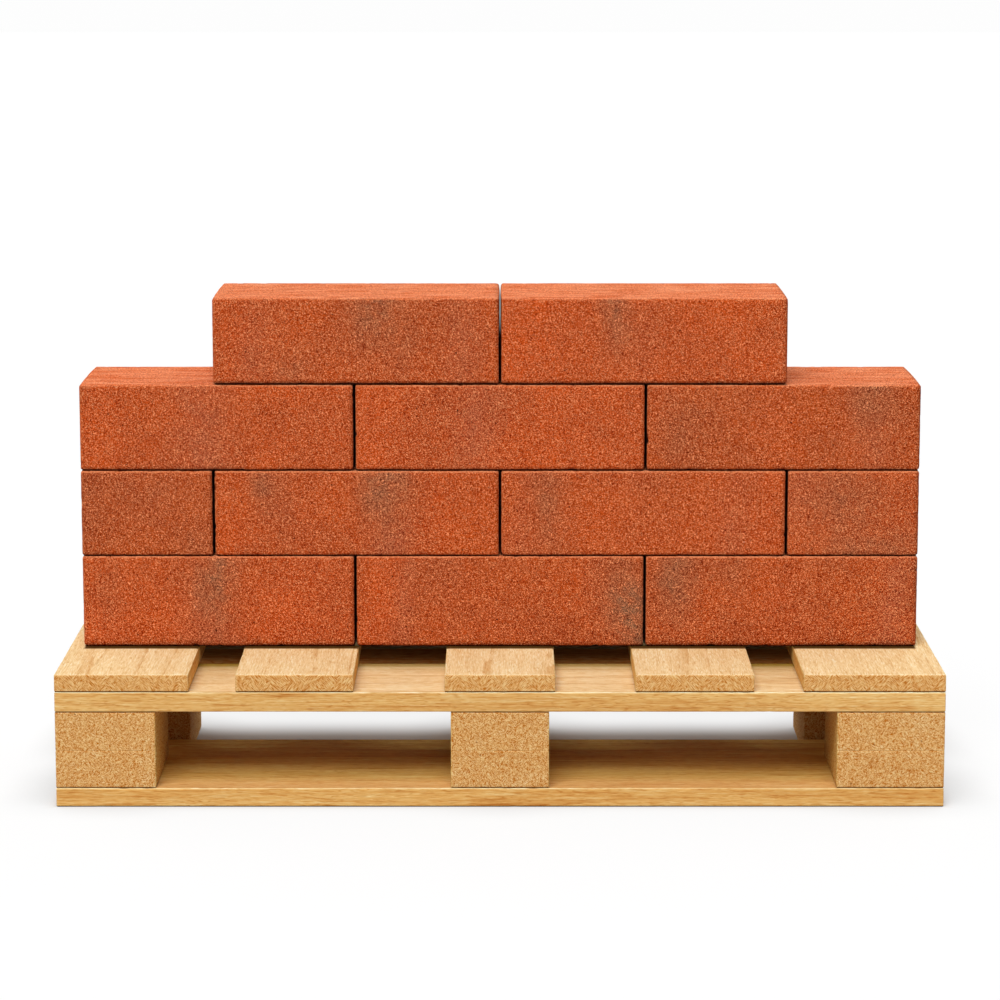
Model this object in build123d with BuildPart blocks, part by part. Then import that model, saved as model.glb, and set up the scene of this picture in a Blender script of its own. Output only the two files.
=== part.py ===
# A small block pallet that carries a dry-stacked wall of bricks, one brick deep and four courses high.
# Millimetres: +X to the right, +Y from front to back, +Z up.
# The origin is on the floor, at the centre of the pallet's footprint.
from build123d import *
import os

# Bricks. Fired bricks differ by a few millimetres, and the extras are what two kinds of place show.
brick_length = 213.0
middle_brick_extra = 8.0
paired_brick_extra = 5.0
brick_depth = 102.5
brick_height = 66.5
bottom_brick_height = 71.0
arris_radius = 2.0
side_joint = 1.5

# Pallet, sized by the margins that it leaves round the wall
side_margin = 11.0
front_margin = 92.0
rear_margin = 43.0

# Boards
deck_thickness = 13.5
stringer_thickness = 15.0
bottom_board_thickness = 14.5
skid_depth = 93.0
bottom_board_gap = 0.5
board_easing = 0.8

# Deck boards from left to right, and the share of the free space that lies on the outer side
# of the second and the fourth board
deck_board_1_width = 100.0
deck_board_2_width = 88.0
deck_board_3_width = 82.5
deck_board_4_width = 88.5
deck_board_5_width = 106.0
left_outer_gap_share = 0.34
right_outer_gap_share = 0.38

# Blocks
front_block_height = 58.5
front_left_block_width = 75.0
front_right_block_width = 80.5
centre_block_width = 73.5
rear_left_block_width = 87.0
rear_right_block_width = 91.5
block_easing = 1.0

# Places worked out from the sizes
wall_length = 3 * brick_length + 2 * side_joint
pallet_width = wall_length + 2 * side_margin
pallet_depth = front_margin + brick_depth + rear_margin
left_side = -pallet_width / 2
right_side = pallet_width / 2
front_side = -pallet_depth / 2
rear_skid_front = front_side + pallet_depth - skid_depth
bottom_board_depth = pallet_depth - skid_depth - bottom_board_gap
stringer_bottom = bottom_board_thickness + front_block_height
deck_bottom = stringer_bottom + stringer_thickness
deck_top = deck_bottom + deck_thickness
wall_middle_y = front_side + front_margin + brick_depth / 2

os.makedirs("parts", exist_ok=True)


def write_piece(piece, name):
    piece.part.label = name
    export_step(piece.part, f"parts/{name}.step")
    size = piece.part.bounding_box().size
    print(f"{name}: {size.X:.1f} x {size.Y:.1f} x {size.Z:.1f}")


# The bottom board lies on the floor under the three front blocks.
def make_bottom_board():
    with BuildPart() as bottom_board:
        with BuildSketch(Plane.XY):
            with Locations((0, front_side + bottom_board_depth / 2)):
                Rectangle(pallet_width, bottom_board_depth)
        extrude(amount=bottom_board_thickness)
        fillet(bottom_board.edges(), radius=board_easing)
    write_piece(bottom_board, "bottom_board_front")


# A block is pressed wood chips. The front blocks stand on the bottom board, the rear ones on the floor.
def make_block(name, left, width, front, bottom):
    with BuildPart() as block:
        with BuildSketch(Plane.XY.offset(bottom)):
            with Locations((left + width / 2, front + skid_depth / 2)):
                Rectangle(width, skid_depth)
        extrude(amount=stringer_bottom - bottom)
        fillet(block.edges(), radius=block_easing)
    write_piece(block, name)


# A stringer board lies on a row of three blocks, over the pallet's full width.
def make_stringer(name, front):
    with BuildPart() as stringer:
        with BuildSketch(Plane.XY.offset(stringer_bottom)):
            with Locations((0, front + skid_depth / 2)):
                Rectangle(pallet_width, skid_depth)
        extrude(amount=stringer_thickness)
        fillet(stringer.edges(), radius=board_easing)
    write_piece(stringer, name)


# A deck board lies across both stringers, from the front to the back of the pallet.
def make_deck_board(name, left, width):
    with BuildPart() as deck_board:
        with BuildSketch(Plane.XY.offset(deck_bottom)):
            with Locations((left + width / 2, 0)):
                Rectangle(width, pallet_depth)
        extrude(amount=deck_thickness)
        fillet(deck_board.edges(), radius=board_easing)
    write_piece(deck_board, name)


# A solid brick with rounded arrises
def make_brick(name, left, length, bottom, height):
    with BuildPart() as brick:
        with BuildSketch(Plane.XY.offset(bottom)):
            with Locations((left + length / 2, wall_middle_y)):
                Rectangle(length, brick_depth)
        extrude(amount=height)
        fillet(brick.edges(), radius=arris_radius)
    write_piece(brick, name)


# A course is a row of bricks with an open joint between neighbours, centred on the pallet.
def make_course(course, bottom, height, bricks):
    row_length = sum(length for place, length in bricks) + side_joint * (len(bricks) - 1)
    left = -row_length / 2
    for place, length in bricks:
        make_brick(f"brick_{course}_{place}", left, length, bottom, height)
        left += length + side_joint


def make_blocks():
    centre_left = -centre_block_width / 2
    skids = (
        ("front", front_side, bottom_board_thickness, front_left_block_width, front_right_block_width),
        ("rear", rear_skid_front, 0, rear_left_block_width, rear_right_block_width),
    )
    for skid, front, bottom, left_width, right_width in skids:
        make_block(f"block_{skid}_left", left_side, left_width, front, bottom)
        make_block(f"block_{skid}_centre", centre_left, centre_block_width, front, bottom)
        make_block(f"block_{skid}_right", right_side - right_width, right_width, front, bottom)


def make_deck():
    board_1_right = left_side + deck_board_1_width
    board_3_left = -deck_board_3_width / 2
    board_3_right = deck_board_3_width / 2
    board_5_left = right_side - deck_board_5_width
    left_space = board_3_left - board_1_right - deck_board_2_width
    right_space = board_5_left - board_3_right - deck_board_4_width
    board_2_left = board_1_right + left_outer_gap_share * left_space
    board_4_left = board_5_left - right_outer_gap_share * right_space - deck_board_4_width
    make_deck_board("deck_board_1", left_side, deck_board_1_width)
    make_deck_board("deck_board_2", board_2_left, deck_board_2_width)
    make_deck_board("deck_board_3", board_3_left, deck_board_3_width)
    make_deck_board("deck_board_4", board_4_left, deck_board_4_width)
    make_deck_board("deck_board_5", board_5_left, deck_board_5_width)


# Courses 1 and 3 have a long brick in the middle, course 2 has a pair of whole bricks between halves,
# and the top course is such a pair alone. Courses 1 to 3 end flush.
def make_wall():
    middle_length = brick_length + middle_brick_extra
    end_length = (wall_length - middle_length - 2 * side_joint) / 2
    paired_length = brick_length + paired_brick_extra
    half_length = (wall_length - 2 * paired_length - 3 * side_joint) / 2
    three_bricks = (("left", end_length), ("middle", middle_length), ("right", end_length))
    pair = (("left", paired_length), ("right", paired_length))
    pair_and_halves = (("half_left", half_length), *pair, ("half_right", half_length))
    bottom_2 = deck_top + bottom_brick_height
    bottom_3 = bottom_2 + brick_height
    bottom_4 = bottom_3 + brick_height
    make_course(1, deck_top, bottom_brick_height, three_bricks)
    make_course(2, bottom_2, brick_height, pair_and_halves)
    make_course(3, bottom_3, brick_height, three_bricks)
    make_course(4, bottom_4, brick_height, pair)


make_bottom_board()
make_blocks()
make_stringer("stringer_front", front_side)
make_stringer("stringer_rear", rear_skid_front)
make_deck()
make_wall()
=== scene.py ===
"""A small wooden block pallet that carries a dry-stacked wall of red clay bricks.

Every piece of the frame is a plain rounded box. Here each one is made again as a fine mesh in the same
place, with worn edges, pits and chips, and gets a procedural brick, board or pressed-chip material.
Units are metres in the meshes and millimetres in the materials.
"""
import math
import random

import bpy
import numpy as np
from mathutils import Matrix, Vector, noise


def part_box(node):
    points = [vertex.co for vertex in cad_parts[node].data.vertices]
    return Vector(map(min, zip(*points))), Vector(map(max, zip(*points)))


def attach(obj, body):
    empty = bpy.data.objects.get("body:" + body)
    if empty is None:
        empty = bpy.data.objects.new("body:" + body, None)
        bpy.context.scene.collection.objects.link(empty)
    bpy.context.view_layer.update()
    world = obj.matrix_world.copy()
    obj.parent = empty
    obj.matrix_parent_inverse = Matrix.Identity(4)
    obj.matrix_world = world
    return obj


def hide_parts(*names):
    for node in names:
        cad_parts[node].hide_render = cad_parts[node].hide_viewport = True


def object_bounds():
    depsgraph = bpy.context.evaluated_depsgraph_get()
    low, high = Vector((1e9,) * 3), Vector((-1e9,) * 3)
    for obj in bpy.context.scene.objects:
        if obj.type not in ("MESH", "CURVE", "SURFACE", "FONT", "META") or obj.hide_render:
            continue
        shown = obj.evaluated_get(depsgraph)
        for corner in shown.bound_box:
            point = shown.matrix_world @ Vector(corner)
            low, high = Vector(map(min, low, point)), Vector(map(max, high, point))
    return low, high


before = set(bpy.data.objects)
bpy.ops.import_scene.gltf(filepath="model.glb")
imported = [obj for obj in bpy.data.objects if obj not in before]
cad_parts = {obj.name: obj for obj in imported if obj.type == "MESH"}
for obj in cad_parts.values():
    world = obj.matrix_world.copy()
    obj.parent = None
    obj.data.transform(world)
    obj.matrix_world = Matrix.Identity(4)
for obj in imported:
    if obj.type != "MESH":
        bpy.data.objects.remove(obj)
cad_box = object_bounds()
MM = 0.001

# Camera, fitted to the edges of the wall and the pallet in the photograph. Its distance is from the front
# of the pallet and its height from the floor.
FOCAL_PIXELS = 3227.0
PICTURE_PIXELS = 1000.0
SENSOR_WIDTH = 36.0
CAMERA_DISTANCE = 2.3399
CAMERA_HEIGHT = 0.665
CAMERA_PITCH = math.radians(9.028)
CAMERA_SHIFT_Y = -0.08
CAMERA_REACH = 60


# Colours

def srgb(red, green, blue):
    """A colour given as 0 to 255 on a screen, as the linear colour that a shader needs."""
    channels = []
    for value in (red, green, blue):
        share = value / 255
        channels.append(share / 12.92 if share <= 0.04045 else ((share + 0.055) / 1.055) ** 2.4)
    return (*channels, 1.0)


CLAY_ORANGE = srgb(210, 84, 28)
CLAY_RED = srgb(192, 78, 32)
CLAY_BLOOM = srgb(184, 102, 74)
CLAY_EMBER = srgb(220, 86, 26)
CLAY_SOOT = srgb(142, 97, 72)
CLAY_TOP = srgb(203, 86, 30)
CLAY_TOP_STREAK = srgb(234, 148, 105)
CLAY_EDGE = srgb(222, 118, 66)
CLAY_NOTCH = srgb(124, 44, 16)
CLAY_LIP_HIGHLIGHT = srgb(250, 146, 96)
CLAY_SAND = srgb(246, 157, 106)
CLAY_PIT = srgb(58, 18, 8)
CLAY_FLECK = srgb(250, 186, 146)
PINE_SIDE = srgb(231, 180, 114)
PINE_TOP = srgb(228, 200, 150)
PINE_CUT = srgb(221, 165, 97)
CHIP_SIDE = srgb(219, 163, 95)
CHIP_TOP = srgb(232, 186, 128)
CHIP_SPECK = srgb(132, 68, 18)

# Tints: what red, green and blue are multiplied by. Dark grain is richer in colour, pale grain is milkier.
WOOD_DARK = (0.68, 0.39, 0.07)
WOOD_PALE = (1.22, 1.75, 2.7)
CLAY_DARK = (0.38, 0.21, 0.16)
CLAY_DULL = (0.8, 0.89, 1.0)
# The three joint tints colour painted shade: the dark lines where pieces meet, and the shade near them
CLAY_JOINT = (0.05, 0.04, 0.04)
BOARD_JOINT = (0.1, 0.06, 0.02)
CHIP_JOINT = (0.28, 0.18, 0.07)
BOARD_FLANK = (1.05, 1.2, 1.05)
BOARD_YELLOW = (1.0, 1.0, 0.85)
CHIP_FLANK = (1.04, 1.16, 0.95)
# Painted shade on the inner faces of the pallet, where the deck and the wall keep light off them
PAINTED_SHADE = (0.33, 0.26, 0.05)


# Which way short strokes are thin: turns about Y and Z, in degrees, of a direction that starts along X.
# Each of the first four shows a different slant on the front, the top and the ends of a piece.
ALL_WAYS = ((-40, 36), (-39, -149), (-47, -50), (-30, 151))
END_GRAIN_WAYS = ((-44, 78), (-50, -76), (-39, 75), (-35, -77))


# Materials are node trees. Tree keeps the calls short.

class Tree:
    """A new material and its nodes. Its methods add nodes and give back the socket with their result."""

    def __init__(self, name):
        self.material = bpy.data.materials.new(name)
        self.material.use_nodes = True
        self.nodes = self.material.node_tree.nodes
        self.links = self.material.node_tree.links
        self.shader = self.nodes["Principled BSDF"]

    def node(self, kind, inputs=None, **settings):
        """Adds a node, sets its properties, and fills its inputs with values or sockets."""
        made = self.nodes.new(kind)
        for key, value in settings.items():
            setattr(made, key, value)
        for key, value in (inputs or {}).items():
            self.feed(made.inputs[key], value)
        return made

    def feed(self, socket, value):
        if isinstance(value, bpy.types.NodeSocket):
            self.links.new(value, socket)
        else:
            socket.default_value = value

    def attribute(self, name, output="Fac"):
        return self.node("ShaderNodeAttribute", attribute_name=name).outputs[output]

    def scaled(self, vector, scale, offset=(0, 0, 0)):
        inputs = {"Vector": vector, "Scale": scale, "Location": offset}
        return self.node("ShaderNodeMapping", inputs).outputs["Vector"]

    def noise(self, vector, size, detail=2.0, roughness=0.5, distortion=0.0):
        """Noise whose lumps are about size millimetres wide."""
        inputs = {"Vector": vector, "Scale": 1 / size, "Detail": detail, "Roughness": roughness,
                  "Distortion": distortion}
        return self.node("ShaderNodeTexNoise", inputs).outputs["Fac"]

    def math(self, operation, first, second=0.0, clamp=False):
        return self.node("ShaderNodeMath", {0: first, 1: second}, operation=operation,
                         use_clamp=clamp).outputs[0]

    def remap(self, value, start, end, low=0.0, high=1.0, kind="SMOOTHSTEP"):
        """Maps start..end to low..high, with soft ends unless kind says otherwise."""
        inputs = {"Value": value, "From Min": start, "From Max": end, "To Min": low, "To Max": high}
        return self.node("ShaderNodeMapRange", inputs, interpolation_type=kind).outputs["Result"]

    def remap_evenly(self, value, start, end, low, high):
        return self.remap(value, start, end, low, high, "LINEAR")

    def mix(self, factor, first, second, blend="MIX"):
        """Two colours mixed."""
        made = self.node("ShaderNodeMix", data_type="RGBA", blend_type=blend)
        self.feed(made.inputs[0], factor)
        self.feed(made.inputs[6], first)
        self.feed(made.inputs[7], second)
        return made.outputs[2]

    def blend(self, factor, first, second):
        """Two numbers mixed."""
        return self.node("ShaderNodeMix", {0: factor, 2: first, 3: second}).outputs[0]

    def spots(self, vector, size, radius, share):
        """Small ragged spots, at most one in each cell of this size, in this share of the cells."""
        inputs = {"Vector": vector, "Scale": 1 / size, "Randomness": 1.0}
        cells = self.node("ShaderNodeTexVoronoi", inputs)
        ragged = self.math("MULTIPLY", self.noise(vector, radius * 1.3, 1.0), radius / size * 1.5)
        distance = self.math("ADD", cells.outputs["Distance"], ragged)
        spot = self.remap(distance, radius / size * 1.3, radius / size * 1.7, 1.0, 0.0)
        chance = self.node("ShaderNodeSeparateColor", {0: cells.outputs["Color"]}).outputs["Red"]
        return self.math("MULTIPLY", spot, self.math("LESS_THAN", chance, share))

    def strokes(self, place, across, along, patch, ways=ALL_WAYS, bend=1.0):
        """Short strokes on every face, across wide and along long, whose slant changes from patch to patch.

        bend is how much they curl. The result is noise round 0.5.
        """
        inputs = {"Vector": place, "Scale": 1 / along, "Detail": 0.0}
        drift = self.node("ShaderNodeTexNoise", inputs).outputs["Color"]
        inputs = {0: drift, 1: (bend * across * 2,) * 3, 2: place}
        bent = self.node("ShaderNodeVectorMath", inputs, operation="MULTIPLY_ADD").outputs[0]
        fields = []
        stretch = (1, along / across, along / across)
        for number, (about_y, about_z) in enumerate(ways):
            inputs = {"Vector": bent, "Rotation": (0, math.radians(about_y), math.radians(about_z)),
                      "Location": (13 * number, 7 * number, 5 * number), "Scale": stretch}
            turned = self.node("ShaderNodeMapping", inputs, vector_type="TEXTURE").outputs["Vector"]
            fields.append(self.noise(turned, across, 0.0))
        choices = [self.remap(self.noise(self.scaled(place, (1, 1, 1), offset), patch, 0.0), 0.46, 0.54)
                   for offset in ((50, 0, 0), (0, 50, 0))]
        pairs = [self.blend(choices[0], *fields[:2]), self.blend(choices[0], *fields[2:])]
        return self.blend(choices[1], *pairs)

    def facing_up(self):
        """1 on level faces that look up, 0 on upright ones."""
        normal = self.node("ShaderNodeNewGeometry").outputs["True Normal"]
        height = self.node("ShaderNodeSeparateXYZ", {0: normal}).outputs["Z"]
        return self.remap(height, 0.3, 0.85)

    def tinted(self, colour, factor, ratios):
        """The colour with its channels multiplied by these ratios where factor is 1."""
        return self.mix(factor, colour, self.mix(1.0, colour, (*ratios, 1.0), "MULTIPLY"))

    def grained(self, colour, value, dark_share, pale_share, reach=0.18):
        """Adds dark wood grain where value is low and pale grain where it is high."""
        colour = self.tinted(colour, self.remap(value, 0.5 - reach, 0.46, dark_share, 0.0), WOOD_DARK)
        return self.tinted(colour, self.remap(value, 0.54, 0.5 + reach, 0.0, pale_share), WOOD_PALE)

    def contours(self, field, count, width):
        """Thin lines where a smooth field passes even steps, count of them over its range."""
        step = self.math("PINGPONG", self.math("MULTIPLY", field, count), 0.5)
        return self.remap(step, 0.0, width, 1.0, 0.0)

    def bump(self, height, distance_mm, strength=1.0):
        inputs = {"Height": height, "Distance": distance_mm * MM, "Strength": strength}
        return self.node("ShaderNodeBump", inputs).outputs["Normal"]

    def finish(self, colour, normal, roughness, specular):
        """Sets the shader. specular stays a plain number, which the export keeps."""
        self.feed(self.shader.inputs["Base Color"], colour)
        self.feed(self.shader.inputs["Normal"], normal)
        self.feed(self.shader.inputs["Roughness"], roughness)
        self.feed(self.shader.inputs["Specular IOR Level"], specular)
        return self.material


def brick_material():
    tree = Tree("fired_clay")
    place = tree.attribute("local", "Vector")
    up = tree.facing_up()

    # Fire marks: an orange body with redder clouds, and on it pale bloom, glowing embers and soot
    cloud = tree.remap(tree.noise(place, 48.0, 3.0, 0.6), 0.34, 0.66)
    colour = tree.mix(cloud, CLAY_ORANGE, CLAY_RED)
    colour = tree.tinted(colour, tree.attribute("tone"), CLAY_DULL)
    patch = tree.remap(tree.noise(place, 9.0, 4.0, 0.65), 0.3, 0.68, 0.45, 1.0)
    for name, strength, mark in (
            ("bloom", 0.55, CLAY_BLOOM), ("ember", 0.7, CLAY_EMBER), ("soot", 0.8, CLAY_SOOT)):
        share = tree.math("MULTIPLY", tree.attribute(name), patch)
        colour = tree.mix(tree.math("MULTIPLY", share, strength, True), colour, mark)

    # Tops are painted with pale streaks of sheen; arrises are pale, worn and with a painted highlight, and
    # have dark notches
    streak = tree.remap(tree.noise(tree.scaled(place, (0.12, 1, 1)), 4.5, 4.0, 0.7), 0.4, 0.6)
    worn = tree.mix(streak, CLAY_TOP, CLAY_TOP_STREAK)
    colour = tree.mix(tree.math("MULTIPLY", up, 0.9), colour, worn)
    edge = tree.remap(tree.attribute("edge"), 0.2, 1.0, 0.0, 0.55)
    colour = tree.mix(edge, colour, CLAY_EDGE)
    notch = tree.remap(tree.noise(tree.scaled(place, (0.4, 1, 1), (3, 61, 29)), 1.3, 1.0), 0.58, 0.66)
    notch = tree.math("MULTIPLY", notch, tree.remap(tree.attribute("edge"), 0.45, 0.75))
    colour = tree.mix(tree.math("MULTIPLY", notch, 0.7), colour, CLAY_NOTCH)
    # Painted highlight on the top front arris, under the bricks above
    colour = tree.mix(tree.attribute("lip"), colour, CLAY_LIP_HIGHLIGHT)

    # Sand-faced grain: short curled strokes, pale and dark, with ragged pits and a few pale grains
    grain = tree.strokes(place, 0.31, 1.4, 4.0, ALL_WAYS, 0.3)
    pit = tree.spots(place, 10.0, 0.8, 0.5)
    fleck = tree.spots(tree.scaled(place, (1, 1, 1), (31, 17, 53)), 12.0, 0.6, 0.45)
    colour = tree.tinted(colour, tree.remap(grain, 0.37, 0.43, 1.0, 0.0), CLAY_DARK)
    colour = tree.mix(tree.remap(grain, 0.585, 0.645, 0.0, 0.95), colour, CLAY_SAND)
    colour = tree.mix(tree.math("MULTIPLY", pit, 0.9), colour, CLAY_PIT)
    colour = tree.mix(tree.math("MULTIPLY", fleck, 0.75), colour, CLAY_FLECK)
    # Painted shade in the joints, and on the right arris, which turns from the light
    colour = tree.tinted(colour, tree.attribute("joint"), CLAY_JOINT)

    return tree.finish(colour, tree.bump(grain, 0.6), 0.9, 0.08)


def board_material():
    tree = Tree("sawn_pine")
    place = tree.attribute("local", "Vector")
    up = tree.math("MULTIPLY", tree.facing_up(), tree.attribute("bleach"))
    end = tree.attribute("end")

    # Growth rings round a line below the board: stripes along its faces, arcs on its ends
    stretched = tree.scaled(place, (0.04, 1, 1))
    inputs = {"Vector": stretched, "Scale": 0.034, "Distortion": 7.0, "Detail": 2.5, "Detail Scale": 0.9,
              "Detail Roughness": 0.55}
    rings = tree.node("ShaderNodeTexWave", inputs, wave_type="RINGS", rings_direction="X",
                      wave_profile="SAW").outputs["Fac"]
    late_wood = tree.remap(rings, 0.5, 1.0)
    broken = tree.remap(tree.noise(tree.scaled(place, (0.2, 1, 1), (40, 0, 0)), 6.0, 1.0), 0.4, 0.6)
    ring_line = tree.math("MULTIPLY", tree.remap(rings, 0.84, 0.97), broken)

    # Fibres and pores along the grain, and a wavy figure that comes and goes
    short_fibre = tree.noise(tree.scaled(place, (0.09, 1, 1)), 0.75, 1.0, 0.5, 0.5)
    waviness = tree.remap_evenly(up, 0.0, 1.0, 0.4, 3.0)
    long_fibre = tree.noise(tree.scaled(place, (0.03, 1, 1)), 1.7, 2.0, 0.55, waviness)
    broad = tree.noise(tree.scaled(place, (0.06, 1, 1)), 15.0, 2.0, 0.5)
    pore = tree.noise(tree.scaled(place, (0.14, 1, 1), (7, 3, 5)), 1.5, 1.0, 0.5)
    pore = tree.remap(pore, 0.63, 0.72)
    flow = tree.noise(tree.scaled(place, (0.08, 1, 1), (11, 23, 5)), 5.0, 2.0, 0.5, waviness)
    flow_share = tree.noise(tree.scaled(place, (0.12, 1, 1), (3, 31, 8)), 9.0, 1.0)
    flow_share = tree.remap(flow_share, 0.4, 0.62)
    figure = tree.math("MULTIPLY", tree.contours(flow, 10.0, 0.22), flow_share)

    # Tops are paler: painted light from above
    colour = tree.mix(up, PINE_SIDE, PINE_TOP)
    colour = tree.tinted(colour, tree.attribute("flank"), BOARD_FLANK)
    broad_share = tree.remap_evenly(up, 0.0, 1.0, 0.3, 0.14)
    broad = tree.math("MULTIPLY", tree.remap(broad, 0.35, 0.7), broad_share)
    colour = tree.tinted(colour, broad, WOOD_DARK)
    colour = tree.tinted(colour, tree.math("MULTIPLY", late_wood, 0.1), WOOD_DARK)
    colour = tree.tinted(colour, tree.math("MULTIPLY", ring_line, 0.45), WOOD_DARK)
    colour = tree.tinted(colour, tree.math("MULTIPLY", figure, 0.5), WOOD_DARK)
    colour = tree.tinted(colour, tree.attribute("yellow"), BOARD_YELLOW)
    fibre_share = tree.remap_evenly(up, 0.0, 1.0, 1.0, 0.85)
    fibrous = tree.grained(tree.grained(colour, long_fibre, 0.4, 0.26), short_fibre, 0.4, 0.26)
    colour = tree.mix(fibre_share, colour, fibrous)
    colour = tree.tinted(colour, tree.math("MULTIPLY", pore, 0.4), WOOD_DARK)

    # Sawn ends: slanting strokes over faint rings
    saw = tree.strokes(place, 0.4, 3.2, 8.0, END_GRAIN_WAYS, 0.3)
    cut = tree.tinted(PINE_CUT, tree.math("MULTIPLY", late_wood, 0.06), WOOD_DARK)
    cut = tree.grained(cut, saw, 0.9, 0.65, 0.16)
    colour = tree.mix(end, colour, cut)
    # Pale arrises: worn, and with a painted highlight
    edge = tree.remap(tree.attribute("edge"), 0.25, 1.0, 0.0, 0.8)
    edge = tree.math("MULTIPLY", edge, tree.remap_evenly(up, 0.0, 1.0, 1.0, 0.45))
    colour = tree.tinted(colour, edge, WOOD_PALE)
    # Painted shade on the faces inside the pallet
    colour = tree.tinted(colour, tree.attribute("grime"), PAINTED_SHADE)
    # Painted shade where pieces meet, and along the front of the wall
    colour = tree.tinted(colour, tree.attribute("joint"), BOARD_JOINT)

    height = tree.blend(end, short_fibre, saw)
    return tree.finish(colour, tree.bump(height, 0.08), 0.75, 0.06)


def chip_material():
    tree = Tree("pressed_chips")
    place = tree.attribute("local", "Vector")
    up = tree.facing_up()

    # Chips lie every way: short strands over flatter flakes, with dark specks between them
    strand = tree.strokes(place, 0.36, 1.8, 4.5, ALL_WAYS, 0.3)
    flake = tree.strokes(tree.scaled(place, (1, 1, 1), (9, 9, 9)), 1.6, 5.0, 7.0)
    speck = tree.spots(place, 9.0, 0.8, 0.45)
    broad = tree.noise(tree.scaled(place, (0.5, 0.5, 1)), 16.0, 3.0, 0.6)

    colour = tree.mix(up, CHIP_SIDE, CHIP_TOP)
    colour = tree.grained(colour, broad, 0.2, 0.1)
    colour = tree.grained(colour, flake, 0.12, 0.1)
    colour = tree.grained(colour, strand, 1.0, 0.75, 0.14)
    colour = tree.mix(tree.math("MULTIPLY", speck, 0.8), colour, CHIP_SPECK)
    # Pale arrises: worn, and with a painted highlight
    edge = tree.remap(tree.attribute("edge"), 0.3, 1.0, 0.0, 0.6)
    colour = tree.tinted(colour, tree.math("MULTIPLY", edge, 0.6), WOOD_PALE)
    colour = tree.tinted(colour, tree.attribute("flank"), CHIP_FLANK)
    # Painted shade on the faces inside the pallet
    colour = tree.tinted(colour, tree.attribute("grime"), PAINTED_SHADE)
    # Painted shade where the block meets the boards
    colour = tree.tinted(colour, tree.attribute("joint"), CHIP_JOINT)

    return tree.finish(colour, tree.bump(strand, 0.2), 0.85, 0.08)


# Meshes. A piece is a box of grid faces whose edges are rounded and whose surface is then worn inwards.

# Grid lines in a rounded edge, as shares of its radius
ROUNDING_LINES = (0.0, 0.36, 0.7)


def grid_lines(low, high, radius, step, extra=(), close=()):
    """Places along one side of a box: close together in the rounded edges, even between them."""
    inner = high - low - 2 * radius
    count = max(2, round(inner / step))
    edge = [*ROUNDING_LINES, *close]
    lines = [low + radius * share for share in edge]
    lines += [low + radius + inner * i / count for i in range(count + 1)]
    lines += [high - radius * share for share in reversed(edge)]
    return np.array(sorted({round(float(place), 6) for place in [*lines, *extra]}))


def box_mesh(low, high, radius, steps, extra=((), (), ()), close=()):
    """Surface points, outward directions and quads of a box with rounded edges.

    steps holds the distance between grid lines for each axis, extra holds more lines for each axis,
    and close holds more of them just past the edges, in radii.
    """
    axes = [grid_lines(low[a], high[a], radius, steps[a], extra[a], close) for a in range(3)]
    shape = tuple(len(axis) for axis in axes)
    i, j, k = np.indices(shape)
    on_side = [(index == 0) | (index == size - 1) for index, size in zip((i, j, k), shape)]
    surface = on_side[0] | on_side[1] | on_side[2]
    number = np.full(shape, -1)
    number[surface] = np.arange(surface.sum())
    flat = np.stack([axes[0][i[surface]], axes[1][j[surface]], axes[2][k[surface]]], axis=1)

    inner = np.clip(flat, np.array(low) + radius, np.array(high) - radius)
    outward = flat - inner
    outward /= np.linalg.norm(outward, axis=1, keepdims=True)
    points = inner + outward * radius

    def side(rows, turned):
        corners = [rows[:-1, :-1], rows[1:, :-1], rows[1:, 1:], rows[:-1, 1:]]
        quads = np.stack([corner.ravel() for corner in corners], axis=1)
        return quads[:, ::-1] if turned else quads

    quads = np.concatenate([
        side(number[0], True), side(number[-1], False),
        side(number[:, 0], False), side(number[:, -1], True),
        side(number[:, :, 0], True), side(number[:, :, -1], False)])
    return flat, points, outward, quads


def lumps(points, size, seed):
    """Soft noise from -1 to 1 with lumps about size metres wide."""
    start = Vector((seed * 7.31, seed * 3.17, seed * 5.71))
    return np.array([noise.noise(Vector(point) / size + start) for point in points.tolist()])


def hollows(points, size, seed, level, slope):
    """Hollows where the lumps rise past a level, and how deep they are: the deeper the further past it."""
    return np.clip(lumps(points, size, seed) - level, 0, 1) * slope


def wander_of(points, size, seed):
    """Soft noise from 0 to 1."""
    return (1 + lumps(points, size, seed)) / 2


def edge_distance(flat, low, high):
    """How far each surface point is from the nearest edge of its box."""
    gaps = np.minimum(flat - np.array(low), np.array(high) - flat)
    return np.sort(gaps, axis=1)[:, 1]


def soft_step(value, start, end):
    """0 at start and before, 1 at end and beyond, with soft ends."""
    share = np.clip((value - start) / (end - start), 0, 1)
    return share * share * (3 - 2 * share)


def undercut(points, outward, away, reach, depth):
    """Draws the sides in near a face that rests on another piece: the further in, the nearer to it."""
    level = outward * np.array([1, 1, 0])
    return points - level * (depth * (1 - soft_step(away, 0, reach)))[:, None]


def joint_shade(away, reach):
    """1 in the painted shade line where two pieces meet, 0 past its reach."""
    return 1 - soft_step(away, 0.35 * reach, reach)


def make_piece(node, points, quads, fields, local, material):
    """Builds the mesh that stands for a node, with its attributes, material and body."""
    mesh = bpy.data.meshes.new(node)
    mesh.from_pydata(points.tolist(), [], quads.tolist())
    for name, values in fields.items():
        mesh.attributes.new(name, "FLOAT", "POINT").data.foreach_set("value", values.astype("f"))
    grain_place = mesh.attributes.new("local", "FLOAT_VECTOR", "POINT")
    grain_place.data.foreach_set("vector", local.astype("f").ravel())
    mesh.polygons.foreach_set("use_smooth", [True] * len(mesh.polygons))
    mesh.materials.append(material)
    mesh.update()
    piece = bpy.data.objects.new(node + "_worn", mesh)
    bpy.context.scene.collection.objects.link(piece)
    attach(piece, "root")
    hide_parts(node)


# Bricks

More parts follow.
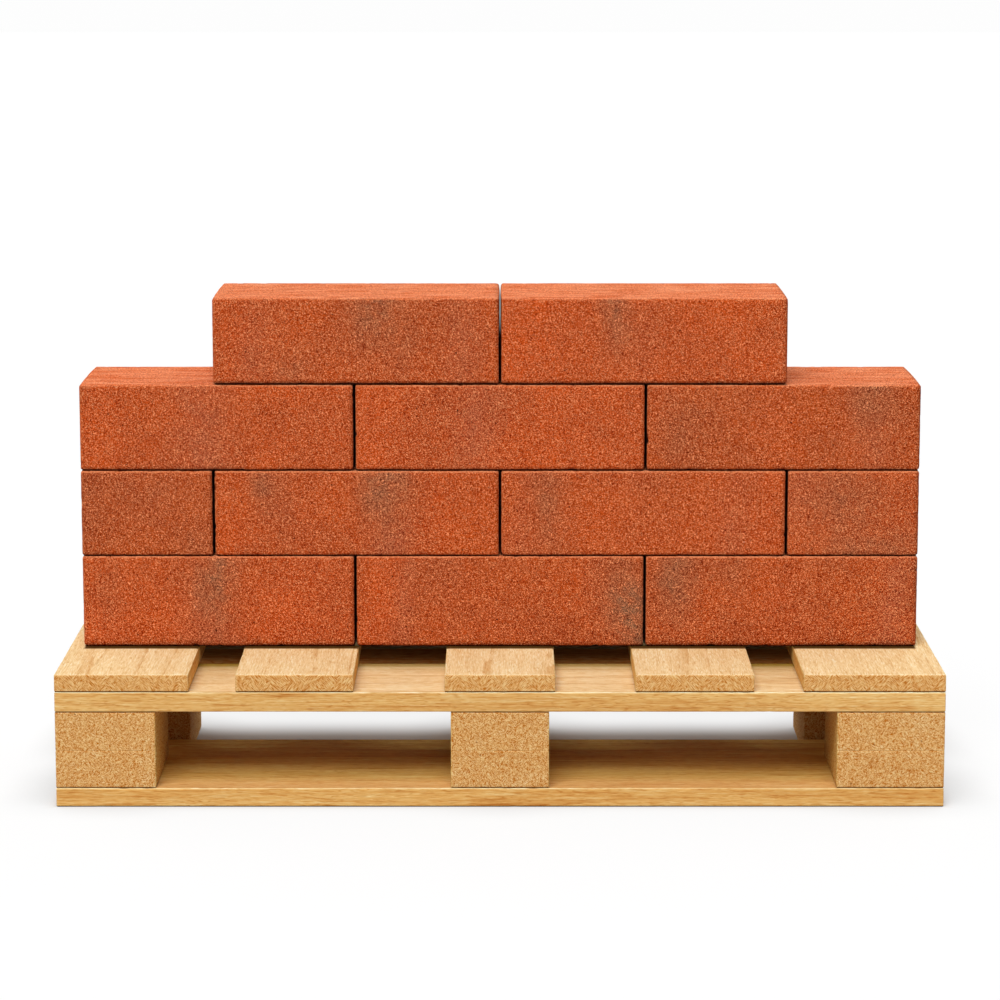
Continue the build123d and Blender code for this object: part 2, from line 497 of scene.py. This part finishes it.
BRICK_ARRIS = 1.8 * MM
BRICK_STEPS = (1.9 * MM, 2.3 * MM, 1.9 * MM)
# How far in from an edge a brick is chipped, is pale, worn and with a painted highlight, and has its
# brightest painted highlight, under the bricks above
CHIPPED_REACH = 4 * MM
WORN_AND_HIGHLIT_REACH = 2.6 * MM
LIP_REACH = (0.2 * MM, 1.5 * MM)
LIP_HEIGHT = 2.2 * MM
LIP_DEPTH = 3 * MM
# How far up a lower arris is drawn in, and how deep
BED_REACH = 2.2 * MM
BED_DEPTH = 1.2 * MM
# How far up the painted shade of a bed joint reaches, for each course
BED_SHADES = {"1": 0.7 * MM, "2": 1.9 * MM, "3": 2.2 * MM, "4": 2.7 * MM}
# How deep in a joint between two ends the painted shade begins and is full
END_SHADE = (0.4 * MM, 1.3 * MM)
# Two bricks less than this apart share a joint, and only faces this close to the end of a brick are in it
JOINT_WIDTH = 4 * MM
END_FACE = 0.01 * MM
# The shade on the arris at the right of a brick, which turns from the light: how dark, and how far in
TURNED_SHADE = 0.22
TURNED_REACH = (1.02 * MM, 3.4 * MM)
# The right arris, which turns from the light, has neither pale wear nor painted highlight from the second
# of these distances on
UNLIT_RIGHT_ARRIS = (3 * MM, MM)

# Fired bricks have slightly crowned ends, which meet half way through a joint and close it to the light.
# Some lose this share of their crown between these shares of their height.
CROWN = 0.75 * MM
CROWN_LOSS_AT_TOP = {"brick_4_left": 0.2, "brick_4_right": 0.2}
CROWN_LOSS_HEIGHTS = (0.45, 0.75)

# Fire marks on the front of each brick: how far along and how far down, as shares of the front,
# how wide, how tall, and how strong
SOOT = {
    "brick_4_left": [
        (0.58, 0.05, 0.09, 0.5, 1.0), (0.66, 0.5, 0.06, 0.4, 0.5), (0.3, 0.85, 0.08, 0.3, 0.5)],
    "brick_4_right": [(0.39, 0.1, 0.06, 0.5, 1.0)],
    "brick_3_left": [],
    "brick_3_middle": [],
    "brick_3_right": [
        (0.12, 0.6, 0.09, 0.45, 0.4), (0.25, 0.2, 0.1, 0.3, 0.2), (0.84, 0.05, 0.07, 0.5, 0.8)],
    "brick_2_half_left": [(0.9, 0.9, 0.1, 0.3, 0.3)],
    "brick_2_left": [(0.2, 0.1, 0.06, 0.35, 0.7), (0.59, 0.15, 0.07, 0.5, 1.0)],
    "brick_2_right": [
        (0.18, 0.3, 0.06, 0.6, 0.6), (0.2, 0.8, 0.05, 0.4, 0.3), (0.46, 0.2, 0.07, 0.4, 0.2)],
    "brick_2_half_right": [(0.42, 0.4, 0.14, 0.6, 0.6), (0.6, 0.95, 0.2, 0.3, 0.8)],
    "brick_1_left": [(0.5, 0.25, 0.07, 0.45, 1.1), (0.12, 0.35, 0.05, 0.4, 0.3)],
    "brick_1_middle": [(0.95, 0.65, 0.08, 0.5, 1.5), (0.84, 0.15, 0.06, 0.4, 0.3)],
    "brick_1_right": [(0.12, 0.2, 0.06, 0.5, 1.0), (0.33, 0.15, 0.06, 0.3, 0.5)],
}
BLOOM = {
    "brick_4_left": [(0.14, 0.6, 0.07, 0.7, 0.8), (0.89, 0.6, 0.06, 0.7, 0.8)],
    "brick_4_right": [(0.5, 0.5, 0.05, 0.6, 0.3)],
    "brick_3_left": [(0.43, 0.5, 0.11, 0.9, 1.0)],
    "brick_3_middle": [(0.44, 0.5, 0.08, 0.9, 1.0)],
    "brick_3_right": [(0.85, 0.8, 0.06, 0.5, 0.7)],
    "brick_2_half_left": [(0.45, 0.3, 0.5, 0.6, 0.3)],
    "brick_2_left": [(0.62, 0.9, 0.08, 0.4, 0.9), (0.25, 0.5, 0.08, 0.4, 0.3)],
    "brick_2_right": [(0.08, 0.6, 0.06, 0.6, 0.5), (0.83, 0.6, 0.07, 0.7, 0.7)],
    "brick_2_half_right": [(0.1, 0.1, 0.08, 0.5, 0.6)],
    "brick_1_left": [(0.47, 0.85, 0.09, 0.4, 0.9)],
    "brick_1_middle": [(0.15, 0.5, 0.06, 0.8, 0.9), (0.3, 0.3, 0.1, 0.4, 0.3)],
    "brick_1_right": [(0.92, 0.5, 0.06, 0.9, 0.9)],
}
EMBER = {
    "brick_4_left": [(0.06, 0.4, 0.07, 1.2, 0.9), (0.74, 0.9, 0.08, 0.4, 0.5)],
    "brick_4_right": [(0.08, 0.6, 0.16, 1.2, 0.8), (0.62, 0.3, 0.1, 0.8, 0.3)],
    "brick_3_left": [
        (0.08, 0.4, 0.09, 1.2, 1.0), (0.93, 0.5, 0.12, 1.2, 0.4), (0.75, 0.3, 0.08, 0.8, 0.3)],
    "brick_3_middle": [
        (0.1, 0.6, 0.11, 1.2, 0.8), (0.72, 0.5, 0.1, 1.0, 0.5), (0.95, 0.5, 0.08, 1.0, 0.2)],
    "brick_3_right": [
        (0.04, 0.1, 0.06, 0.5, 0.5), (0.45, 0.5, 0.08, 0.9, 0.5), (0.8, 0.2, 0.08, 0.6, 0.4)],
    "brick_2_half_left": [],
    "brick_2_left": [(0.05, 0.8, 0.08, 0.6, 0.5), (0.75, 0.4, 0.08, 0.8, 0.6)],
    "brick_2_right": [(0.95, 0.4, 0.06, 0.9, 0.7), (0.42, 0.1, 0.07, 0.5, 0.4)],
    "brick_2_half_right": [(0.05, 0.1, 0.06, 0.5, 0.3)],
    "brick_1_left": [(0.06, 0.8, 0.08, 0.7, 0.8), (0.8, 0.5, 0.14, 1.2, 0.5)],
    "brick_1_middle": [(0.05, 0.5, 0.07, 1.2, 0.8), (0.82, 0.2, 0.08, 0.4, 0.4)],
    "brick_1_right": [(0.48, 0.3, 0.08, 0.8, 0.5), (0.82, 0.1, 0.07, 0.4, 0.3)],
}
# How much duller than the reddest brick each one is
BRICK_TONE = {
    "brick_4_left": 0.3, "brick_4_right": 0.0, "brick_3_left": 0.25, "brick_3_middle": 0.1,
    "brick_3_right": 0.7, "brick_2_half_left": 1.0, "brick_2_left": 0.45, "brick_2_right": 0.5,
    "brick_2_half_right": 0.45, "brick_1_left": 0.5, "brick_1_middle": 0.85, "brick_1_right": 0.85,
}
# How strong the painted highlight on the top front arris of each course is, under the bricks above it
LIP = {"1": 1.0, "2": 1.0, "3": 0.35}
# The widths of fire marks are shares of this length, that of a whole brick
MARKED_LENGTH = 0.215
MARK_DRIFT = 0.06


def fire_marks(marks, flat, low, high, drift):
    """Soft upright clouds. They cross the brick from front to back, and wander a little on the way."""
    size = np.array(high) - np.array(low)
    along = (flat[:, 0] - low[0]) / size[0] + MARK_DRIFT * drift
    down = (high[2] - flat[:, 2]) / size[2]
    total = np.zeros(len(flat))
    scale = MARKED_LENGTH / size[0]
    for centre, middle, width, height, strength in marks:
        cloud = np.exp(-((along - centre) / (width * scale)) ** 2 - ((down - middle) / height) ** 2)
        total = np.maximum(total, strength * cloud)
    return total


def end_crown(node, flat, outward, low, high):
    """How far the ends of a brick bulge: most at mid depth, and less near the top of some bricks."""
    depth_share = (flat[:, 1] - low[1]) / (high[1] - low[1])
    height_share = (flat[:, 2] - low[2]) / (high[2] - low[2])
    across = np.clip(1 - (2 * depth_share - 1) ** 2, 0, 1)
    loss = CROWN_LOSS_AT_TOP.get(node, 0.0) * soft_step(height_share, *CROWN_LOSS_HEIGHTS)
    return CROWN * np.abs(outward[:, 0]) * across * (1 - loss)


def course_of(node):
    """The number in a brick's name, which counts the courses from the bottom."""
    return node.split("_")[1]


def ends_in_joints(node):
    """Whether the left and the right end of a brick have another brick beside them."""
    low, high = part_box(node)
    found = [False, False]
    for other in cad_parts:
        if other != node and other.startswith("brick_" + course_of(node)):
            other_low, other_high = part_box(other)
            found[0] |= abs(other_high[0] - low[0]) < JOINT_WIDTH
            found[1] |= abs(other_low[0] - high[0]) < JOINT_WIDTH
    return found


def brick_joint_shade(node, flat, low, high, wander):
    """The painted shade in the dark lines of the joints, and the softer painted shade on a right arris."""
    shade = joint_shade(flat[:, 2] - low[2], BED_SHADES[course_of(node)] * (0.8 + 0.4 * wander))
    inside = soft_step(edge_distance(flat, low, high), *END_SHADE)
    for covered, away in zip(ends_in_joints(node), (flat[:, 0] - low[0], high[0] - flat[:, 0])):
        if covered:
            shade = np.maximum(shade, inside * (away < END_FACE))
    turned = TURNED_SHADE * (1 - soft_step(high[0] - flat[:, 0], *TURNED_REACH))
    return np.maximum(shade, turned)


def make_brick(node, seed, material):
    """A fired brick: pitted, chipped and rubbed along its arrises, with the fire marks of its front."""
    low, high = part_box(node)
    flat, points, outward, quads = box_mesh(low, high, BRICK_ARRIS, BRICK_STEPS)
    near = edge_distance(flat, low, high)
    arris = 1 - soft_step(near, 0, CHIPPED_REACH)
    crown = end_crown(node, flat, outward, low, high)
    pits = hollows(flat, 3.4 * MM, seed, 0.3, 0.3 * MM) * (1 - crown / CROWN)
    wander = wander_of(flat, 14 * MM, seed + 1)
    chips = hollows(flat, 4.5 * MM, seed + 2, 0.36, 5.0 * MM)
    depth = pits + arris * (0.35 * MM * wander + chips) - crown
    points = points - outward * depth[:, None]
    points = undercut(points, outward, flat[:, 2] - low[2], BED_REACH, BED_DEPTH)

    drift = lumps(flat, 60 * MM, seed + 3)
    # A painted highlight on the top front arris, and no pale edge where the right arris turns from the
    # light
    top_arris = (flat[:, 2] > high[2] - LIP_HEIGHT) & (flat[:, 1] < low[1] + LIP_DEPTH)
    lip = LIP.get(course_of(node), 0.0) * (1 - soft_step(near, *LIP_REACH)) * top_arris
    right = soft_step(flat[:, 0], high[0] - UNLIT_RIGHT_ARRIS[0], high[0] - UNLIT_RIGHT_ARRIS[1])
    fields = {
        "soot": fire_marks(SOOT[node], flat, low, high, drift),
        "bloom": fire_marks(BLOOM[node], flat, low, high, drift),
        "ember": fire_marks(EMBER[node], flat, low, high, drift),
        "tone": np.full(len(flat), BRICK_TONE[node]),
        "edge": (1 - soft_step(near, 0, WORN_AND_HIGHLIT_REACH)) * (0.4 + 0.6 * wander) * (1 - right),
        "lip": lip * (0.3 + 0.7 * wander),
        "joint": brick_joint_shade(node, flat, low, high, wander),
    }
    local = (flat - np.array(low)) / MM + seed * np.array([37.0, 91.0, 53.0])
    make_piece(node, points, quads, fields, local, material)


# Boards

BOARD_EASING = 0.8 * MM
BOARD_STEP = 3.0 * MM
BOARD_STEP_ALONG = 4.5 * MM
BOARD_JOINT_REACH = 1.0 * MM
BOARD_JOINT_DEPTH = 0.5 * MM
BOARD_WEAR_REACH = 2.0 * MM
BOARD_PALE_REACH = (0.2 * MM, 1.4 * MM)
# A relief that changes this many times more slowly along the grain than across it
RIDGE_STRETCH = 12.0
# The painted shadow line on the deck along the front of the wall: full to the first distance, gone at the
# second
WALL_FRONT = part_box("brick_1_middle")[0][1]
WALL_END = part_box("brick_1_right")[1][0]
WALL_LINE = (5.6 * MM, 8.0 * MM)
WALL_LINE_GRID = [share * MM for share in (0, 2.8, 5.6, 6.8, 8.0)]
STRINGERS = ("stringer_front", "stringer_rear")
# The front of the rear stringer is painted this dark with shade, between these heights above its bottom and
# higher up
REAR_STRINGER_SHADE = 0.87
REAR_STRINGER_SHADED = (3 * MM, 9.5 * MM)
# Painted shade on top of the front stringer, under the wall: a wide band along its rear edge, a narrow one,
# and more near its ends.
# Each is its strength, and how far from the rear edge it is full and gone.
STRINGER_BANDS = ((0.42, 4 * MM, 38 * MM), (0.4, 8 * MM, 14 * MM))
STRINGER_END_BAND = (0.15, 40 * MM, 80 * MM)
STRINGER_ENDS = (160 * MM, 190 * MM)
# Painted shade on top of the bottom board along its front edge, in the same way
BOTTOM_BOARD_BAND = (0.25, 25 * MM, 55 * MM)
# Where the bottom board's top begins to lie in the light from the pockets, and does wholly
BOTTOM_BOARD_LIT = (5 * MM, 45 * MM)
STRINGER_FRONT_FLANK = 0.4


def over_a_stringer(flat):
    """1 for points above a stringer, where a deck board rests on it."""
    over = np.zeros(len(flat))
    for node in STRINGERS:
        low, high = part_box(node)
        over = np.maximum(over, (flat[:, 1] > low[1] - MM) & (flat[:, 1] < high[1] + MM))
    return over


def fading(distance, strength, full, gone):
    """A band of this strength up to the distance full, which fades to nothing at gone."""
    return strength * (1 - soft_step(distance, full, gone))


def board_painted_shade(node, flat, outward, low, high):
    """Painted shade on the faces inside the pallet."""
    up = outward[:, 2] > 0.5
    if node == "stringer_front":
        from_rear = high[1] - flat[:, 1]
        near_ends = soft_step(np.abs(flat[:, 0]), *STRINGER_ENDS)
        grime = sum(fading(from_rear, *band) for band in STRINGER_BANDS)
        return up * (grime + near_ends * fading(from_rear, *STRINGER_END_BAND))
    if node == "bottom_board_front":
        return up * fading(flat[:, 1] - low[1], *BOTTOM_BOARD_BAND)
    return np.zeros(len(flat))


def make_board(node, seed, along, material):
    """A sawn board. along is the axis that the grain follows, 0 for X and 1 for Y."""
    low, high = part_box(node)
    is_deck = node.startswith("deck")
    wall_ends = [x for x in (-WALL_END, -WALL_END + 2 * MM, WALL_END - 2 * MM, WALL_END)
                 if is_deck and low[0] + 3 * MM < x < high[0] - 3 * MM]
    wall_lines = [WALL_FRONT - before for before in WALL_LINE_GRID] if is_deck else ()
    steps = [BOARD_STEP_ALONG if axis == along else BOARD_STEP for axis in range(3)]
    flat, points, outward, quads = box_mesh(
        low, high, BOARD_EASING, steps, (wall_ends, wall_lines, ()), (1.7, 2.7))
    near = edge_distance(flat, low, high)
    height_share = (flat[:, 2] - low[2]) / (high[2] - low[2])
    arris = (1 - soft_step(near, 0, BOARD_WEAR_REACH)) * (0.3 + 0.7 * soft_step(height_share, 0.2, 0.8))
    across = 1 - along
    streaks = flat / np.array([RIDGE_STRETCH if axis == along else 1.0 for axis in range(3)])
    ridges = hollows(streaks, 4.0 * MM, seed, 0.1, 0.12 * MM)
    wander = wander_of(flat, 22 * MM, seed + 1)
    nicks = hollows(flat, 6 * MM, seed + 2, 0.42, 3.5 * MM)
    depth = ridges * (1 - arris) + arris * (0.3 * MM * wander + nicks)
    points = points - outward * depth[:, None]

    above_bed = flat[:, 2] - low[2]
    bearing = over_a_stringer(flat) if is_deck else np.full(len(flat), node.startswith("bottom"))
    points = undercut(points, outward, above_bed, BOARD_JOINT_REACH, BOARD_JOINT_DEPTH * bearing)

    top_front = (flat[:, 2] > high[2] - 2 * MM) & (flat[:, 1] < low[1] + 2 * MM)
    # Painted shade where pieces meet, a painted shadow line in front of the wall, and painted shade on the
    # front of the rear stringer
    joint = joint_shade(above_bed, BOARD_JOINT_REACH) * bearing
    if is_deck:
        before_wall = np.abs(WALL_FRONT - flat[:, 1])
        along_wall = (outward[:, 2] > 0.5) & (np.abs(flat[:, 0]) < WALL_END - MM)
        joint = np.maximum(joint, along_wall * (1 - soft_step(before_wall, *WALL_LINE)))
    if node == "stringer_rear":
        high_up = soft_step(above_bed, *REAR_STRINGER_SHADED)
        joint = np.maximum(joint, REAR_STRINGER_SHADE * high_up * np.clip(-outward[:, 1], 0, 1))
    up = np.clip(outward[:, 2], 0, 1)
    flank = np.abs(outward[:, across]) * is_deck
    yellow = np.zeros(len(flat))
    if node == "stringer_front":
        flank = STRINGER_FRONT_FLANK * np.clip(-outward[:, 1], 0, 1)
    if node == "bottom_board_front":
        flank = up * soft_step(flat[:, 1] - low[1], *BOTTOM_BOARD_LIT)
        yellow = np.maximum(1 - up, flank)
    # The pale edge is worn and a painted highlight, which is strongest along the top front arris
    pale = 0.3 + 0.3 * wander + (0.3 if is_deck else 0.9) * top_front
    fields = {
        "end": soft_step(np.abs(outward[:, along]), 0.6, 0.8),
        "edge": (1 - soft_step(near, *BOARD_PALE_REACH)) * pale,
        "joint": joint,
        "grime": board_painted_shade(node, flat, outward, low, high),
        "flank": flank,
        # Tops of all boards but the bottom ones are painted paler by light from above
        "bleach": np.full(len(flat), 0.0 if node.startswith("bottom") else 1.0),
        "yellow": yellow,
    }
    place = (flat - (np.array(low) + np.array(high)) / 2) / MM
    pith = random.Random(seed)
    local = np.stack([
        place[:, along] + 900 * seed,
        place[:, across] + pith.uniform(-25, 25),
        place[:, 2] + pith.uniform(40, 70)], axis=1)
    make_piece(node, points, quads, fields, local, material)


# Blocks of pressed chips

BLOCK_EASING = 1.0 * MM
BLOCK_STEPS = (1.9 * MM, 2.2 * MM, 1.9 * MM)
BLOCK_WEAR_REACH = 2 * MM
BLOCK_PALE_REACH = 1.6 * MM
BLOCK_JOINT_REACH = 0.9 * MM
BLOCK_JOINT_DEPTH = 0.3 * MM
FRONT_SEAM_HEIGHT = 43.0 * MM
REAR_SEAM_HEIGHT = 22.5 * MM
SEAM_HALF_WIDTH = 0.7 * MM
SEAM_DEPTH = 0.35 * MM
SEAM_LINES = (-1, -0.5, 0, 0.5, 1)
# Painted shade on the fronts of the rear blocks, and on the sides of the front ones, where it grows
# inwards.
# Sides further than this from the middle of the pallet are its outer ends, and stay clean.
REAR_FRONT_PAINTED_SHADE = 0.5
SIDE_PAINTED_SHADE = 0.38
OUTER_END = 0.3


def make_block(node, seed, seam, material):
    """A block with the faint line that pressing leaves round it, at the height seam."""
    low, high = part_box(node)
    seam_lines = [seam + SEAM_HALF_WIDTH * share for share in SEAM_LINES]
    flat, points, outward, quads = box_mesh(
        low, high, BLOCK_EASING, BLOCK_STEPS, ((), (), seam_lines), (1.6,))
    near = edge_distance(flat, low, high)
    arris = 1 - soft_step(near, 0, BLOCK_WEAR_REACH)
    chips = hollows(flat, 2.8 * MM, seed, 0.15, 0.4 * MM)
    wander = wander_of(flat, 12 * MM, seed + 1)
    losses = hollows(flat, 4.5 * MM, seed + 2, 0.38, 4.0 * MM)
    upright = 1 - np.abs(outward[:, 2])
    groove = (1 - soft_step(np.abs(flat[:, 2] - seam), 0, SEAM_HALF_WIDTH)) * SEAM_DEPTH * upright
    depth = chips + groove * wander + arris * (0.25 * MM * wander + losses)
    points = points - outward * depth[:, None]
    away = np.minimum(flat[:, 2] - low[2], high[2] - flat[:, 2])
    points = undercut(points, outward, away, BLOCK_JOINT_REACH, BLOCK_JOINT_DEPTH)

    rear_front = np.clip(-outward[:, 1], 0, 1) * ("rear" in node)
    inner_side = np.abs(outward[:, 0]) * ("front" in node) * (np.abs(flat[:, 0]) < OUTER_END)
    inwards = (flat[:, 1] - low[1]) / (high[1] - low[1])
    # Pale edges, worn and with a painted highlight; painted shade where the block meets the boards and
    # inside the pallet
    fields = {
        "edge": (1 - soft_step(near, 0, BLOCK_PALE_REACH)) * (0.3 + 0.7 * wander),
        "joint": joint_shade(away, BLOCK_JOINT_REACH),
        "grime": np.maximum(REAR_FRONT_PAINTED_SHADE * rear_front, SIDE_PAINTED_SHADE * inner_side * inwards),
        "flank": inner_side,
    }
    local = (flat - np.array(low)) / MM + seed * np.array([41.0, 67.0, 29.0])
    make_piece(node, points, quads, fields, local, material)


def make_pieces():
    """One piece for each node of the frame. Its place in the sorted list is its seed."""
    clay = brick_material()
    pine = board_material()
    chips = chip_material()
    for seed, node in enumerate(sorted(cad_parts)):
        if node.startswith("brick"):
            make_brick(node, seed, clay)
        elif node.startswith("block"):
            make_block(node, seed, FRONT_SEAM_HEIGHT if "front" in node else REAR_SEAM_HEIGHT, chips)
        else:
            make_board(node, seed, 1 if node.startswith("deck") else 0, pine)


# The studio: a white floor under wide soft lamps and a dim even world

FLOOR_HALF_WIDTH = 15.0
# How bright the background shows
SEEN_WHITE = 0.985
# The floor's colour as it shows round the object, as it shows under it with painted shadow, and as it
# lights the object
FLOOR_SEEN_COLOUR = srgb(234, 234, 234)
FLOOR_PAINTED_SHADOW_COLOUR = srgb(187, 180, 173)
FLOOR_BOUNCE_COLOUR = srgb(170, 168, 164)
FLOOR_ROUGHNESS = 0.9
# Round the object this share of what the floor shows is an even white with a soft painted shadow, made from
# how open the floor is, whose reach is
# in metres and whose darkest is this share of white. It leans towards the camera's side.
FLOOR_GLOW_SHARE = 0.85
SHADOW_REACH = 0.05
SHADOW_STRENGTH = 0.62
SHADOW_LEAN = (0.0, -0.45, 0.9)
# Where the painted shadow under the object ends and the floor round it begins, behind, at both ends and in
# front
UNDER_REAR = (0.085, 0.150)
UNDER_END = (0.322, 0.345)
UNDER_FRONT = (-0.125, -0.112)
WORLD_STRENGTH = 0.2


def seen_by_camera(nodes, links):
    """1 for rays that show a surface, straight, in gloss or through glass, and 0 for its light."""
    path = nodes.new("ShaderNodeLightPath").outputs
    seen = path["Is Camera Ray"]
    for name in ("Is Glossy Ray", "Is Transmission Ray"):
        either = nodes.new("ShaderNodeMath")
        either.operation = "MAXIMUM"
        links.new(seen, either.inputs[0])
        links.new(path[name], either.inputs[1])
        seen = either.outputs[0]
    return seen


def make_floor():
    """A level floor. It shows white, with the object's shadow close round it, mostly painted, and painted
    darker under the object.
    """
    mesh = bpy.data.meshes.new("floor")
    half = FLOOR_HALF_WIDTH
    corners = [(-half, -half, 0), (half, -half, 0), (half, half, 0), (-half, half, 0)]
    mesh.from_pydata(corners, [], [(0, 1, 2, 3)])
    tree = Tree("white_floor")
    seen = seen_by_camera(tree.nodes, tree.links)
    position = tree.node("ShaderNodeNewGeometry").outputs["Position"]
    place = tree.node("ShaderNodeSeparateXYZ", {0: position})
    beyond_end = tree.remap(tree.math("ABSOLUTE", place.outputs["X"]), *UNDER_END)
    beyond_rear = tree.remap(place.outputs["Y"], *UNDER_REAR)
    before_front = tree.remap(place.outputs["Y"], *UNDER_FRONT, 1.0, 0.0)
    outside = tree.math("MAXIMUM", tree.math("MAXIMUM", beyond_end, beyond_rear), before_front)
    # Painted shadow under the object
    shown = tree.mix(outside, FLOOR_PAINTED_SHADOW_COLOUR, FLOOR_SEEN_COLOUR)
    tree.feed(tree.shader.inputs["Base Color"], tree.mix(seen, FLOOR_BOUNCE_COLOUR, shown))
    tree.shader.inputs["Roughness"].default_value = FLOOR_ROUGHNESS
    tree.shader.inputs["Specular IOR Level"].default_value = 0.0
    # A soft shadow painted round the object from how open the floor is
    lean = tree.node("ShaderNodeCombineXYZ", dict(enumerate(SHADOW_LEAN))).outputs[0]
    inputs = {"Distance": SHADOW_REACH, "Normal": lean}
    open_share = tree.node("ShaderNodeAmbientOcclusion", inputs).outputs["AO"]
    level = tree.remap_evenly(open_share, 0.0, 1.0, SEEN_WHITE * (1 - SHADOW_STRENGTH), SEEN_WHITE)
    glow = tree.node("ShaderNodeEmission", {"Strength": level}).outputs[0]
    share = tree.math("MULTIPLY", tree.math("MULTIPLY", seen, outside), FLOOR_GLOW_SHARE)
    both = tree.node("ShaderNodeMixShader", {0: share, 1: tree.shader.outputs[0], 2: glow}).outputs[0]
    tree.feed(tree.nodes["Material Output"].inputs["Surface"], both)
    mesh.materials.append(tree.material)
    floor = bpy.data.objects.new("floor", mesh)
    bpy.context.scene.collection.objects.link(floor)


def make_lamp(name, azimuth, elevation, width, level):
    """A wide far lamp. azimuth is 0 in front of the object and turns towards +X, all in degrees.

    level is how bright a white surface that faces the lamp renders, where 1 is white.
    """
    lamp = bpy.data.lights.new(name, "SUN")
    lamp.angle = math.radians(width)
    lamp.energy = level * math.pi
    holder = bpy.data.objects.new(name, lamp)
    holder.rotation_euler = (math.radians(90 - elevation), 0, math.radians(azimuth))
    bpy.context.scene.collection.objects.link(holder)


def make_world():
    """Shows white behind the object, and lights it dimly from all round."""
    world = bpy.data.worlds.new("studio")
    world.use_nodes = True
    nodes = world.node_tree.nodes
    links = world.node_tree.links
    background = nodes["Background"]
    background.inputs["Color"].default_value = (1, 1, 1, 1)
    strength = nodes.new("ShaderNodeMapRange")
    strength.inputs["To Min"].default_value = WORLD_STRENGTH
    strength.inputs["To Max"].default_value = SEEN_WHITE
    links.new(seen_by_camera(nodes, links), strength.inputs["Value"])
    links.new(strength.outputs["Result"], background.inputs["Strength"])
    bpy.context.scene.world = world


def make_camera():
    """The camera of the photograph, in front of the middle of the pallet."""
    front = cad_box[0][1]
    data = bpy.data.cameras.new("camera")
    data.sensor_width = SENSOR_WIDTH
    data.lens = FOCAL_PIXELS / PICTURE_PIXELS * SENSOR_WIDTH
    data.shift_y = CAMERA_SHIFT_Y
    data.clip_end = CAMERA_REACH
    camera = bpy.data.objects.new("camera", data)
    camera.location = (0, front - CAMERA_DISTANCE, CAMERA_HEIGHT)
    camera.rotation_euler = (math.radians(90) - CAMERA_PITCH, 0, 0)
    bpy.context.scene.collection.objects.link(camera)
    bpy.context.scene.camera = camera


make_pieces()
make_floor()
make_lamp("key", azimuth=-12, elevation=55, width=44, level=1.04)
make_lamp("rear_left", azimuth=-135, elevation=45, width=50, level=0.24)
make_lamp("rear_right", azimuth=135, elevation=45, width=50, level=0.24)
make_world()
make_camera()
bpy.context.scene.view_settings.view_transform = "Standard"
